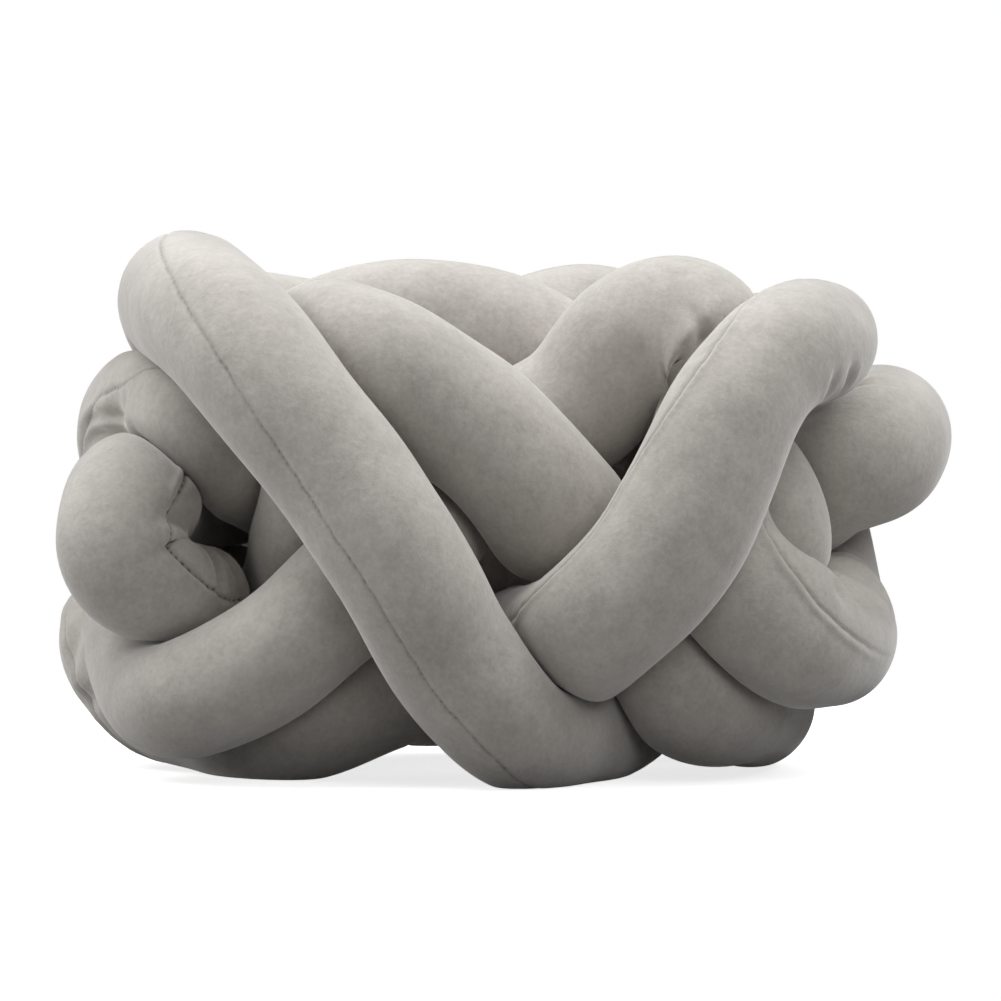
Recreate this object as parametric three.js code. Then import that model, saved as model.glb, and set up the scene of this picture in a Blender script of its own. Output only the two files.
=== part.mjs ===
// Braided crib bumper, rolled up and standing on its edge: six stuffed plush tubes, plaited into a
// flat braid that runs once round an upright roll. Millimetres, +X right, +Y back, +Z up.
// The origin is at the bottom centre of the roll.
import * as THREE from "three";

// Each row is a bend of a tube's centre line, in order from one end of the tube to the other:
// x, y and z place it before the tubes are pressed together, and r is the tube's half thickness.
const STRANDS = {
  strand_1: [
    { x: 93.5, y: 87.4, z: 99, r: 31 },
    { x: 112.5, y: 115.4, z: 113, r: 31 },
    { x: 130.5, y: 127.4, z: 125, r: 32 },
    { x: 159.5, y: 112.4, z: 142, r: 33 },
    { x: 174.5, y: 79.4, z: 154, r: 34 },
    { x: 173.5, y: 42.4, z: 152, r: 34.5 },
    { x: 164.5, y: 15.4, z: 144.5, r: 35 },
    { x: 144.5, y: 20.4, z: 142, r: 33 },
    { x: 120.5, y: 31.4, z: 106, r: 31 },
    { x: 96.5, y: 17.4, z: 72, r: 31 },
    { x: 68.5, y: -4.6, z: 40, r: 31 },
    { x: 44.5, y: -30.6, z: 33.5, r: 31 },
    { x: 19.5, y: -66.6, z: 31, r: 31 },
    { x: -0.5, y: -102.6, z: 41, r: 31 },
    { x: -22.5, y: -117.6, z: 56, r: 30.5 },
    { x: -40.5, y: -122.6, z: 89, r: 30.5 },
    { x: -62.5, y: -124.6, z: 125, r: 31 },
    { x: -84.5, y: -122.6, z: 154, r: 31.5 },
    { x: -110.5, y: -110.6, z: 187, r: 32 },
    { x: -132.5, y: -74.6, z: 208.5, r: 32.5 },
    { x: -145, y: -17.6, z: 210.5, r: 32.5 },
    { x: -149, y: 42.4, z: 203.5, r: 32 },
    { x: -121.5, y: 92.4, z: 202, r: 31 },
    { x: -89.5, y: 115.4, z: 198, r: 31 },
    { x: -58.5, y: 125.4, z: 194, r: 31 },
    { x: -39.5, y: 129.4, z: 182, r: 31 },
    { x: -21.5, y: 127.4, z: 166, r: 31 },
    { x: -7.5, y: 105.4, z: 152, r: 31 },
    { x: 1.5, y: 89.4, z: 145, r: 31 },
  ],
  strand_2: [
    { x: -48.5, y: 87.4, z: 144, r: 31 },
    { x: -65.5, y: 112.4, z: 131, r: 31 },
    { x: -94.5, y: 129.4, z: 107, r: 31 },
    { x: -128.5, y: 125.4, z: 82, r: 31 },
    { x: -155.5, y: 102.4, z: 72, r: 31 },
    { x: -168.5, y: 65.4, z: 68, r: 31 },
    { x: -158.5, y: 25.4, z: 55, r: 31 },
    { x: -141.5, y: -4.6, z: 40, r: 31 },
    { x: -127.5, y: -26.6, z: 29, r: 31 },
    { x: -104.5, y: -44.6, z: 27, r: 31 },
    { x: -76.5, y: -58.6, z: 35, r: 31 },
    { x: -52.5, y: -66.6, z: 48, r: 31 },
    { x: -27.5, y: -47.6, z: 45, r: 31 },
    { x: 3.5, y: -41.6, z: 47, r: 31 },
    { x: 25.5, y: -74.6, z: 55, r: 31 },
    { x: 32.5, y: -107.6, z: 66, r: 31.5 },
    { x: 47.5, y: -118.6, z: 81, r: 32 },
    { x: 65, y: -122.6, z: 98.5, r: 32.5 },
    { x: 80, y: -122.6, z: 123.5, r: 30.8 },
    { x: 91.5, y: -120.6, z: 149, r: 28.7 },
    { x: 103.5, y: -114.6, z: 173, r: 28.5 },
    { x: 119.5, y: -97.6, z: 191, r: 28 },
    { x: 134, y: -52.6, z: 196.8, r: 27.5 },
    { x: 135.2, y: -0.6, z: 195.5, r: 28.5 },
    { x: 128.5, y: 47.4, z: 193, r: 30 },
    { x: 108.5, y: 75.4, z: 184, r: 31 },
    { x: 83.5, y: 79.4, z: 173, r: 31 },
    { x: 54.5, y: 112.4, z: 148, r: 31 },
    { x: 23.5, y: 129.4, z: 123, r: 31 },
    { x: -2.5, y: 115.4, z: 102, r: 31 },
    { x: -24.5, y: 89.4, z: 85, r: 31 },
  ],
  strand_3: [
    { x: -94.5, y: -20.6, z: 78, r: 31 },
    { x: -87.5, y: -44.6, z: 99, r: 31 },
    { x: -80.5, y: -54.6, z: 126, r: 31 },
    { x: -81.5, y: -56.6, z: 153, r: 31 },
    { x: -93.5, y: -47.6, z: 176, r: 31 },
    { x: -87.5, y: -54.6, z: 194, r: 31.5 },
    { x: -64.5, y: -74.6, z: 188, r: 33 },
    { x: -39.5, y: -82.6, z: 175, r: 33.5 },
    { x: -16.5, y: -84.6, z: 160, r: 33.5 },
    { x: 0.5, y: -80.6, z: 143, r: 33.5 },
    { x: 24.5, y: -70.6, z: 116, r: 33 },
    { x: 44.5, y: -64.6, z: 87, r: 32 },
    { x: 58.5, y: -74.6, z: 63, r: 31 },
    { x: 77.5, y: -76.6, z: 45, r: 31 },
    { x: 93.5, y: -66.6, z: 38, r: 31 },
    { x: 110.5, y: -34.6, z: 42, r: 31 },
    { x: 111.5, y: 12.4, z: 39, r: 31 },
    { x: 113.5, y: 62.4, z: 29, r: 31 },
    { x: 99.5, y: 107.4, z: 43, r: 31 },
    { x: 69.5, y: 127.4, z: 80, r: 31 },
    { x: 56.5, y: 107.4, z: 92, r: 31 },
    { x: 45.5, y: 89.4, z: 102, r: 31 },
  ],
  strand_4: [
    { x: -73.5, y: 85.4, z: 43, r: 31 },
    { x: -98.5, y: 92.4, z: 31, r: 31 },
    { x: -126.5, y: 79.4, z: 43, r: 31 },
    { x: -143.5, y: 52.4, z: 70, r: 31 },
    { x: -154.5, y: 9.4, z: 75, r: 31 },
    { x: -158.5, y: -32.6, z: 59, r: 31 },
    { x: -149.5, y: -60.6, z: 48, r: 30 },
    { x: -131.5, y: -80.6, z: 45, r: 29.5 },
    { x: -104.5, y: -88.6, z: 55.5, r: 29 },
    { x: -81.5, y: -84.6, z: 75, r: 28.5 },
    { x: -58.5, y: -70.6, z: 98, r: 30 },
    { x: -29.5, y: -42.6, z: 130, r: 31 },
    { x: 4.5, y: -32.6, z: 151, r: 32 },
    { x: 36.5, y: -32.6, z: 170.5, r: 33.5 },
    { x: 50, y: -37.6, z: 192.5, r: 32.5 },
    { x: 69.5, y: -42.6, z: 206.5, r: 31.5 },
    { x: 92.5, y: -44.6, z: 201.5, r: 32 },
    { x: 101.5, y: -48.6, z: 180, r: 31 },
    { x: 94.5, y: -54.6, z: 152, r: 30 },
    { x: 86.8, y: -60.6, z: 126, r: 30 },
    { x: 91.5, y: -72.6, z: 103, r: 31 },
    { x: 104.5, y: -78.6, z: 79, r: 33 },
    { x: 120.5, y: -68.6, z: 65, r: 32.5 },
    { x: 133, y: -34.6, z: 63, r: 31.5 },
    { x: 137.5, y: 10.4, z: 65, r: 31 },
    { x: 137.5, y: 53.4, z: 88, r: 31 },
    { x: 127.5, y: 73.4, z: 127, r: 31 },
    { x: 106.5, y: 97.4, z: 150, r: 31 },
    { x: 85.5, y: 125.4, z: 175, r: 31 },
    { x: 58.5, y: 125.4, z: 200, r: 31.5 },
    { x: 35.5, y: 111.4, z: 206, r: 32 },
    { x: 16.5, y: 99.4, z: 200, r: 31.5 },
    { x: -1.5, y: 89.4, z: 185, r: 31 },
  ],
  strand_5: [
    { x: 125, y: -2.6, z: 85, r: 31 },
    { x: 121.3, y: -10.6, z: 106, r: 31 },
    { x: 110.5, y: -12.6, z: 131, r: 31 },
    { x: 91.5, y: -2.6, z: 151, r: 31 },
    { x: 61.5, y: 15.4, z: 169, r: 31 },
    { x: 29.5, y: 27.4, z: 183, r: 31 },
    { x: 6.5, y: 33.4, z: 196, r: 31.5 },
    { x: -13.5, y: 32.4, z: 203, r: 31.5 },
    { x: -40.5, y: 32.4, z: 206, r: 31.5 },
    { x: -77.5, y: 35.4, z: 201, r: 31 },
    { x: -103.5, y: 45.4, z: 185, r: 31 },
    { x: -122.5, y: 52.4, z: 160, r: 31 },
    { x: -139.5, y: 39.4, z: 143, r: 31 },
    { x: -159.5, y: 5.4, z: 135, r: 31 },
    { x: -164.5, y: -40.6, z: 130, r: 31 },
    { x: -169.5, y: -68.6, z: 115, r: 31 },
    { x: -172.5, y: -72.6, z: 96, r: 31 },
    { x: -158.5, y: -68.6, z: 86, r: 30 },
    { x: -151.5, y: -51.6, z: 77, r: 27 },
    { x: -144.5, y: -29.6, z: 74, r: 23 },
  ],
  strand_6: [
    { x: -71.5, y: 20.4, z: 92, r: 31 },
    { x: -81.5, y: -0.6, z: 114, r: 31 },
    { x: -100.5, y: -21.6, z: 135, r: 31 },
    { x: -129.5, y: -50.6, z: 153, r: 31 },
    { x: -138.5, y: -42.6, z: 164, r: 31 },
    { x: -149.5, y: -2.6, z: 157, r: 31 },
    { x: -156.5, y: 49.4, z: 141, r: 31 },
    { x: -153.5, y: 95.4, z: 136, r: 31 },
    { x: -139.5, y: 105.4, z: 145, r: 31 },
    { x: -117.5, y: 97.4, z: 133, r: 31 },
    { x: -92.5, y: 77.4, z: 108, r: 31 },
    { x: -69.5, y: 102.4, z: 84, r: 31 },
    { x: -48.5, y: 127.4, z: 64, r: 31 },
    { x: -24.5, y: 125.4, z: 42, r: 31 },
    { x: 1.5, y: 112.4, z: 27, r: 31 },
    { x: 25.5, y: 95.4, z: 33, r: 31 },
    { x: 44.5, y: 87.4, z: 60, r: 31 },
  ],
};

const SETTLE = {
  bead: 10, // spacing of the points that stand for a tube while it settles
  reach: 50, // centre lines nearer than this press each other apart
  passes: 60,
  push: 0.8, // share of the overlap that one pass takes away
  recall: 0.03, // how strongly a point is drawn back to where it was laid
  alongside: 8, // beads of one tube closer in order than this never press each other
  spread: 4, // times that a move is shared out to the beads beside it
  frontHold: 0.12, // how far a tube at the front gives way sideways
  backGive: 0.6, // how much more one at the back does
  frontY: -37.6,
  backY: 52.4,
  seat: 27, // lowest height of a centre line, so that the lowest tubes lie flat
};
const SKIN = {
  sides: 14,
  curveParts: 24, // straight parts that stand for the curve between two points when it is measured
  ringStep: 20, // length of tube between rings on a straight stretch
  bendShare: 16, // extra rings where the tube bends, as a length of tube for each radian
  halfGap: 1.1, // each tube stops this far short of the plane midway to its neighbour
  innerBend: 0.8, // share of the bend radius that the inner side of a bend may fill
  capSteps: 3,
  fineStep: 2, // spacing of the points along a centre line that a neighbour is measured to
  rounding: 12, // fine points to each side that a point is shared out over
  bendWindow: 6, // fine points to each side over which a bend is measured
  ownApart: 45, // fine points of one tube closer in order than this never press each other
  near: 1, // a centre line further off than a half thickness and this can't press
};
const PLUSH = { color: 0xa8a49d, roughness: 0.95, metalness: 0 };

// The centre line as evenly spaced points, from the smooth curve through the given ones.
function evenly(points, step) {
  const curve = new THREE.CatmullRomCurve3(points, false, "centripetal");
  curve.arcLengthDivisions = points.length * SKIN.curveParts;
  return curve.getSpacedPoints(Math.max(2, Math.round(curve.getLength() / step)));
}

// Presses the tubes apart where they lie too close, and keeps them above the floor.
function settle(lines) {
  const beads = lines.flatMap((line, tube) =>
    line.map((p, order) => {
      const free = THREE.MathUtils.clamp((p.y - SETTLE.frontY) / (SETTLE.backY - SETTLE.frontY), 0, 1);
      const side = SETTLE.frontHold + SETTLE.backGive * free;
      return { tube, order, at: p.clone(), laid: p.clone(), give: new THREE.Vector3(side, 1, side) };
    }),
  );
  const offset = new THREE.Vector3();
  for (let pass = 0; pass < SETTLE.passes; pass++) {
    const moves = beads.map((a) => {
      const sum = new THREE.Vector3();
      let touching = 0;
      for (const b of beads) {
        if (a.tube === b.tube && Math.abs(a.order - b.order) < SETTLE.alongside) continue;
        const distance = offset.subVectors(a.at, b.at).length();
        if (distance >= SETTLE.reach) continue;
        sum.addScaledVector(offset, (SETTLE.reach - distance) / distance);
        touching++;
      }
      return sum.multiplyScalar(SETTLE.push / Math.max(1, touching)).multiply(a.give);
    });
    for (let turn = 0; turn < SETTLE.spread; turn++) smooth(moves, beads);
    beads.forEach((bead, i) => {
      bead.at.addScaledVector(offset.subVectors(bead.at, bead.laid), -SETTLE.recall).add(moves[i]);
      bead.at.z = Math.max(bead.at.z, SETTLE.seat);
    });
  }
  return lines.map((_, tube) => beads.filter((b) => b.tube === tube).map((b) => b.at));
}

// Shares half of each move out to the beads before and after it, so that a tube bends and never kinks.
function smooth(moves, beads) {
  const before = moves.map((m) => m.clone());
  for (let i = 1; i < moves.length - 1; i++) {
    if (beads[i - 1].tube !== beads[i + 1].tube) continue;
    moves[i].multiplyScalar(0.5).addScaledVector(before[i - 1], 0.25).addScaledVector(before[i + 1], 0.25);
  }
}

// Half thickness of a tube at a share of its length, between the rows of its table.
function thickness(rows, share) {
  const at = share * (rows.length - 1);
  const i = Math.min(Math.floor(at), rows.length - 2);
  return THREE.MathUtils.lerp(rows[i].r, rows[i + 1].r, at - i);
}

// A line with each point shared out over the ones beside it, which rounds off the kinks of settling.
// Past its ends the line is carried on as its own mirror image, so that the ends keep their place.
function rounded(line) {
  const last = line.length - 1;
  const at = (i) => {
    const inside = i < 0 ? -i : Math.min(i, 2 * last - i);
    const p = line[inside].clone();
    if (i === inside) return p;
    return p.multiplyScalar(-1).addScaledVector(line[i < 0 ? 0 : last], 2);
  };
  return line.map((_, i) => {
    const sum = new THREE.Vector3();
    let total = 0;
    for (let k = -SKIN.rounding; k <= SKIN.rounding; k++) {
      const weight = 1 + Math.cos((Math.PI * k) / (SKIN.rounding + 1));
      sum.addScaledVector(at(i + k), weight);
      total += weight;
    }
    return sum.divideScalar(total);
  });
}

// Ring stations along a centre line through every second bead, closer together where it bends.
function stations(line, rows) {
  const fine = rounded(evenly(line.filter((_, i) => i % 2 === 0 || i === line.length - 1), SKIN.fineStep));
  const tangent = fine.map((_, i) =>
    new THREE.Vector3()
      .subVectors(fine[Math.min(i + 1, fine.length - 1)], fine[Math.max(i - 1, 0)])
      .normalize(),
  );
  const measure = [0];
  for (let i = 1; i < fine.length; i++)
    measure.push(
      measure[i - 1] + fine[i].distanceTo(fine[i - 1]) + SKIN.bendShare * tangent[i].angleTo(tangent[i - 1]),
    );
  const count = Math.round(measure.at(-1) / SKIN.ringStep);
  const rings = [];
  for (let k = 0, i = 0; k <= count; k++) {
    while (i < fine.length - 1 && measure[i] < (measure.at(-1) * k) / count - 1e-6) i++;
    const ahead = Math.min(i + SKIN.bendWindow, fine.length - 1);
    const behind = Math.max(i - SKIN.bendWindow, 0);
    const bend = new THREE.Vector3().subVectors(tangent[ahead], tangent[behind]);
    bend.divideScalar(fine[ahead].distanceTo(fine[behind]));
    rings.push({ at: fine[i], along: tangent[i], bend, order: i, r: thickness(rows, i / (fine.length - 1)) });
  }
  return { fine, rings };
}

// How far the skin reaches from a ring's centre in one direction: the tube's own half thickness, less
// where a neighbour, the floor or the inside of a bend is in the way.
function reach(ring, direction, neighbours) {
  let far = ring.r;
  for (const n of neighbours) {
    const cosine = direction.dot(n.away);
    if (cosine > 0) far = Math.min(far, (n.half - SKIN.halfGap) / cosine);
  }
  if (direction.z < 0) far = Math.min(far, ring.at.z / -direction.z);
  const inward = direction.dot(ring.bend);
  if (inward > 0) far = Math.min(far, SKIN.innerBend / inward);
  return far;
}

// The points of centre lines that stand near enough to a ring to press on it, each as the way to it and
// half the distance.
function nearby(ring, tube, tubes) {
  const found = [];
  for (const other of tubes)
    other.fine.forEach((p, order) => {
      if (other === tube && Math.abs(order - ring.order) < SKIN.ownApart) return;
      const half = p.distanceTo(ring.at) / 2;
      if (half < ring.r + SKIN.near) found.push({ away: p.clone().sub(ring.at).normalize(), half });
    });
  return found;
}

// One tube's closed skin: rings of points swept along its centre line, with a rounded end at each end.
function skin(tube, tubes) {
  const rings = tube.rings;
  const side = new THREE.Vector3(0, 0, 1).cross(rings[0].along).normalize();
  const positions = [];
  const point = (ring, direction, neighbours) => {
    const p = ring.at.clone().addScaledVector(direction, reach(ring, direction, neighbours));
    positions.push(p.x, p.y, Math.max(p.z, 0));
  };
  const circle = (ring, lean) => {
    const neighbours = nearby(ring, tube, tubes);
    const across = new THREE.Vector3().crossVectors(ring.along, side);
    for (let k = 0; k < SKIN.sides; k++) {
      const angle = (2 * Math.PI * k) / SKIN.sides;
      const direction = side.clone().multiplyScalar(Math.cos(angle)).addScaledVector(across, Math.sin(angle));
      direction.multiplyScalar(Math.cos(lean)).addScaledVector(ring.along, Math.sin(lean));
      point(ring, direction, neighbours);
    }
  };
  const pole = (ring, sign) =>
    point(ring, ring.along.clone().multiplyScalar(sign), nearby(ring, tube, tubes));
  const leans = Array.from({ length: SKIN.capSteps }, (_, i) => ((i + 1) * Math.PI) / 2 / (SKIN.capSteps + 1));

  pole(rings[0], -1);
  leans.toReversed().forEach((lean) => circle(rings[0], -lean));
  for (const ring of rings) {
    side.addScaledVector(ring.along, -side.dot(ring.along)).normalize();
    circle(ring, 0);
  }
  leans.forEach((lean) => circle(rings.at(-1), lean));
  pole(rings.at(-1), 1);
  return closed(positions, positions.length / 3 - 2);
}

// Joins the first point, the circles of points and the last point into one closed surface.
function closed(positions, onCircles) {
  const n = SKIN.sides;
  const circles = onCircles / n;
  const last = onCircles + 1;
  const index = [];
  for (let k = 0; k < n; k++) {
    const next = (k + 1) % n;
    index.push(0, 1 + next, 1 + k);
    for (let c = 0; c < circles - 1; c++) {
      const here = 1 + c * n;
      index.push(here + k, here + next, here + n + k, here + next, here + n + next, here + n + k);
    }
    index.push(last, last - n + k, last - n + next);
  }
  const geometry = new THREE.BufferGeometry();
  geometry.setAttribute("position", new THREE.Float32BufferAttribute(positions, 3));
  geometry.setIndex(index);
  geometry.computeVertexNormals();
  return geometry;
}

const names = Object.keys(STRANDS);
const laid = names.map((name) =>
  evenly(STRANDS[name].map((row) => new THREE.Vector3(row.x, row.y, row.z)), SETTLE.bead),
);
const settled = settle(laid);
const tubes = names.map((name, i) => stations(settled[i], STRANDS[name]));

const bumper = new THREE.Group();
tubes.forEach((tube, i) => {
  const mesh = new THREE.Mesh(skin(tube, tubes), new THREE.MeshStandardMaterial(PLUSH));
  mesh.name = names[i];
  bumper.add(mesh);
});

export default bumper;
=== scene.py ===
"""The look of a braided crib bumper, rolled up and standing on its edge.

Six stuffed plush tubes are plaited into a flat braid, and the braid runs once round an upright roll.
Metres, +X right, +Y back, +Z up. The origin is at the bottom centre of the roll.
"""

import logging
import math
from dataclasses import dataclass, field
from enum import Enum

import bmesh
import bpy
import numpy as np
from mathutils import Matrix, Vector


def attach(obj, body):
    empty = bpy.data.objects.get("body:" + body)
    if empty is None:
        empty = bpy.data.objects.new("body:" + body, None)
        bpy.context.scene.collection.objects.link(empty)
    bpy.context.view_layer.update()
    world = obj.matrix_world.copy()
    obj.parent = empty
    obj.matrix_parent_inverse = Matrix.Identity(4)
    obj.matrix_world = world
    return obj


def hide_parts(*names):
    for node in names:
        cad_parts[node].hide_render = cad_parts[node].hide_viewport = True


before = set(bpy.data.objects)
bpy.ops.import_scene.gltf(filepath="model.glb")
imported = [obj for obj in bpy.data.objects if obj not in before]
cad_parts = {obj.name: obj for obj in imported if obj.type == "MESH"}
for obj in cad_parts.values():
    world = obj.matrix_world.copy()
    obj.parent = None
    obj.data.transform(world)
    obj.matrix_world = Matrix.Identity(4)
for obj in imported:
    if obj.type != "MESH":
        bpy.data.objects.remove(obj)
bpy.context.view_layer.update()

# Smoothing keeps this share of each value and takes the rest from its two neighbours.
KEPT = 0.5
TAKEN = 0.25

# Edges of cloth this close together are sewn into one, in metres.
SEWN_WITHIN = 1e-7

# The places of the Mix node's sockets when it mixes colours: three inputs and an output.
MIX_SHARE = 0
MIX_FIRST_COLOUR = 6
MIX_SECOND_COLOUR = 7
MIX_COLOUR = 2

log = logging.getLogger("bumper")


@dataclass(frozen=True)
class Bend:
    """A bend of a tube's route, before the tubes press together, and its half thickness there."""

    x: float
    y: float
    z: float
    r: float = 0.0310


@dataclass(frozen=True)
class SeamTurn:
    """The way that a tube's long seam faces at a share of the tube's length."""

    share: float
    x: float
    y: float
    z: float


class SeamLook(Enum):
    """How a long seam lies in the plush."""

    FLAT = "flat"
    RIDGED = "ridged"
    PUCKERED = "puckered"


# Each tube's route, from one end to the other.
ROUTES: dict[str, list[Bend]] = {
    "strand_1": [
        Bend(0.0935, 0.0874, 0.099),
        Bend(0.1125, 0.1154, 0.113),
        Bend(0.1305, 0.1274, 0.125, r=0.0320),
        Bend(0.1595, 0.1124, 0.142, r=0.0330),
        Bend(0.1745, 0.0794, 0.154, r=0.0340),
        Bend(0.1735, 0.0424, 0.152, r=0.0345),
        Bend(0.1645, 0.0154, 0.1445, r=0.0350),
        Bend(0.1445, 0.0204, 0.142, r=0.0330),
        Bend(0.1205, 0.0314, 0.106),
        Bend(0.0965, 0.0174, 0.072),
        Bend(0.0685, -0.0046, 0.040),
        Bend(0.0445, -0.0306, 0.0335),
        Bend(0.0195, -0.0666, 0.031),
        Bend(-0.0005, -0.1026, 0.041),
        Bend(-0.0225, -0.1176, 0.056, r=0.0305),
        Bend(-0.0405, -0.1226, 0.089, r=0.0305),
        Bend(-0.0625, -0.1246, 0.125),
        Bend(-0.0845, -0.1226, 0.154, r=0.0315),
        Bend(-0.1105, -0.1106, 0.187, r=0.0320),
        Bend(-0.1325, -0.0746, 0.2085, r=0.0325),
        Bend(-0.145, -0.0176, 0.2105, r=0.0325),
        Bend(-0.149, 0.0424, 0.2035, r=0.0320),
        Bend(-0.1215, 0.0924, 0.202),
        Bend(-0.0895, 0.1154, 0.198),
        Bend(-0.0585, 0.1254, 0.194),
        Bend(-0.0395, 0.1294, 0.182),
        Bend(-0.0215, 0.1274, 0.166),
        Bend(-0.0075, 0.1054, 0.152),
        Bend(0.0015, 0.0894, 0.145),
    ],
    "strand_2": [
        Bend(-0.0485, 0.0874, 0.144),
        Bend(-0.0655, 0.1124, 0.131),
        Bend(-0.0945, 0.1294, 0.107),
        Bend(-0.1285, 0.1254, 0.082),
        Bend(-0.1555, 0.1024, 0.072),
        Bend(-0.1685, 0.0654, 0.068),
        Bend(-0.1585, 0.0254, 0.055),
        Bend(-0.1415, -0.0046, 0.040),
        Bend(-0.1275, -0.0266, 0.029),
        Bend(-0.1045, -0.0446, 0.027),
        Bend(-0.0765, -0.0586, 0.035),
        Bend(-0.0525, -0.0666, 0.048),
        Bend(-0.0275, -0.0476, 0.045),
        Bend(0.0035, -0.0416, 0.047),
        Bend(0.0255, -0.0746, 0.055),
        Bend(0.0325, -0.1076, 0.066, r=0.0315),
        Bend(0.0475, -0.1186, 0.081, r=0.0320),
        Bend(0.065, -0.1226, 0.0985, r=0.0325),
        Bend(0.080, -0.1226, 0.1235, r=0.0308),
        Bend(0.0915, -0.1206, 0.149, r=0.0287),
        Bend(0.1035, -0.1146, 0.173, r=0.0285),
        Bend(0.1195, -0.0976, 0.191, r=0.0280),
        Bend(0.134, -0.0526, 0.1968, r=0.0275),
        Bend(0.1352, -0.0006, 0.1955, r=0.0285),
        Bend(0.1285, 0.0474, 0.193, r=0.0300),
        Bend(0.1085, 0.0754, 0.184),
        Bend(0.0835, 0.0794, 0.173),
        Bend(0.0545, 0.1124, 0.148),
        Bend(0.0235, 0.1294, 0.123),
        Bend(-0.0025, 0.1154, 0.102),
        Bend(-0.0245, 0.0894, 0.085),
    ],
    "strand_3": [
        Bend(-0.0945, -0.0206, 0.078),
        Bend(-0.0875, -0.0446, 0.099),
        Bend(-0.0805, -0.0546, 0.126),
        Bend(-0.0815, -0.0566, 0.153),
        Bend(-0.0935, -0.0476, 0.176),
        Bend(-0.0875, -0.0546, 0.194, r=0.0315),
        Bend(-0.0645, -0.0746, 0.188, r=0.0330),
        Bend(-0.0395, -0.0826, 0.175, r=0.0335),
        Bend(-0.0165, -0.0846, 0.160, r=0.0335),
        Bend(0.0005, -0.0806, 0.143, r=0.0335),
        Bend(0.0245, -0.0706, 0.116, r=0.0330),
        Bend(0.0445, -0.0646, 0.087, r=0.0320),
        Bend(0.0585, -0.0746, 0.063),
        Bend(0.0775, -0.0766, 0.045),
        Bend(0.0935, -0.0666, 0.038),
        Bend(0.1105, -0.0346, 0.042),
        Bend(0.1115, 0.0124, 0.039),
        Bend(0.1135, 0.0624, 0.029),
        Bend(0.0995, 0.1074, 0.043),
        Bend(0.0695, 0.1274, 0.080),
        Bend(0.0565, 0.1074, 0.092),
        Bend(0.0455, 0.0894, 0.102),
    ],
    "strand_4": [
        Bend(-0.0735, 0.0854, 0.043),
        Bend(-0.0985, 0.0924, 0.031),
        Bend(-0.1265, 0.0794, 0.043),
        Bend(-0.1435, 0.0524, 0.070),
        Bend(-0.1545, 0.0094, 0.075),
        Bend(-0.1585, -0.0326, 0.059),
        Bend(-0.1495, -0.0606, 0.048, r=0.0300),
        Bend(-0.1315, -0.0806, 0.045, r=0.0295),
        Bend(-0.1045, -0.0886, 0.0555, r=0.0290),
        Bend(-0.0815, -0.0846, 0.075, r=0.0285),
        Bend(-0.0585, -0.0706, 0.098, r=0.0300),
        Bend(-0.0295, -0.0426, 0.130),
        Bend(0.0045, -0.0326, 0.151, r=0.0320),
        Bend(0.0365, -0.0326, 0.1705, r=0.0335),
        Bend(0.050, -0.0376, 0.1925, r=0.0325),
        Bend(0.0695, -0.0426, 0.2065, r=0.0315),
        Bend(0.0925, -0.0446, 0.2015, r=0.0320),
        Bend(0.1015, -0.0486, 0.180),
        Bend(0.0945, -0.0546, 0.152, r=0.0300),
        Bend(0.0868, -0.0606, 0.126, r=0.0300),
        Bend(0.0915, -0.0726, 0.103),
        Bend(0.1045, -0.0786, 0.079, r=0.0330),
        Bend(0.1205, -0.0686, 0.065, r=0.0325),
        Bend(0.133, -0.0346, 0.063, r=0.0315),
        Bend(0.1375, 0.0104, 0.065),
        Bend(0.1375, 0.0534, 0.088),
        Bend(0.1275, 0.0734, 0.127),
        Bend(0.1065, 0.0974, 0.150),
        Bend(0.0855, 0.1254, 0.175),
        Bend(0.0585, 0.1254, 0.200, r=0.0315),
        Bend(0.0355, 0.1114, 0.206, r=0.0320),
        Bend(0.0165, 0.0994, 0.200, r=0.0315),
        Bend(-0.0015, 0.0894, 0.185),
    ],
    "strand_5": [
        Bend(0.125, -0.0026, 0.085),
        Bend(0.1213, -0.0106, 0.106),
        Bend(0.1105, -0.0126, 0.131),
        Bend(0.0915, -0.0026, 0.151),
        Bend(0.0615, 0.0154, 0.169),
        Bend(0.0295, 0.0274, 0.183),
        Bend(0.0065, 0.0334, 0.196, r=0.0315),
        Bend(-0.0135, 0.0324, 0.203, r=0.0315),
        Bend(-0.0405, 0.0324, 0.206, r=0.0315),
        Bend(-0.0775, 0.0354, 0.201),
        Bend(-0.1035, 0.0454, 0.185),
        Bend(-0.1225, 0.0524, 0.160),
        Bend(-0.1395, 0.0394, 0.143),
        Bend(-0.1595, 0.0054, 0.135),
        Bend(-0.1645, -0.0406, 0.130),
        Bend(-0.1695, -0.0686, 0.115),
        Bend(-0.1725, -0.0726, 0.096),
        Bend(-0.1585, -0.0686, 0.086, r=0.0300),
        Bend(-0.1515, -0.0516, 0.077, r=0.0270),
        Bend(-0.1445, -0.0296, 0.074, r=0.0230),
    ],
    "strand_6": [
        Bend(-0.0715, 0.0204, 0.092),
        Bend(-0.0815, -0.0006, 0.114),
        Bend(-0.1005, -0.0216, 0.135),
        Bend(-0.1295, -0.0506, 0.153),
        Bend(-0.1385, -0.0426, 0.164),
        Bend(-0.1495, -0.0026, 0.157),
        Bend(-0.1565, 0.0494, 0.141),
        Bend(-0.1535, 0.0954, 0.136),
        Bend(-0.1395, 0.1054, 0.145),
        Bend(-0.1175, 0.0974, 0.133),
        Bend(-0.0925, 0.0774, 0.108),
        Bend(-0.0695, 0.1024, 0.084),
        Bend(-0.0485, 0.1274, 0.064),
        Bend(-0.0245, 0.1254, 0.042),
        Bend(0.0015, 0.1124, 0.027),
        Bend(0.0255, 0.0954, 0.033),
        Bend(0.0445, 0.0874, 0.060),
    ],
}


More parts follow.
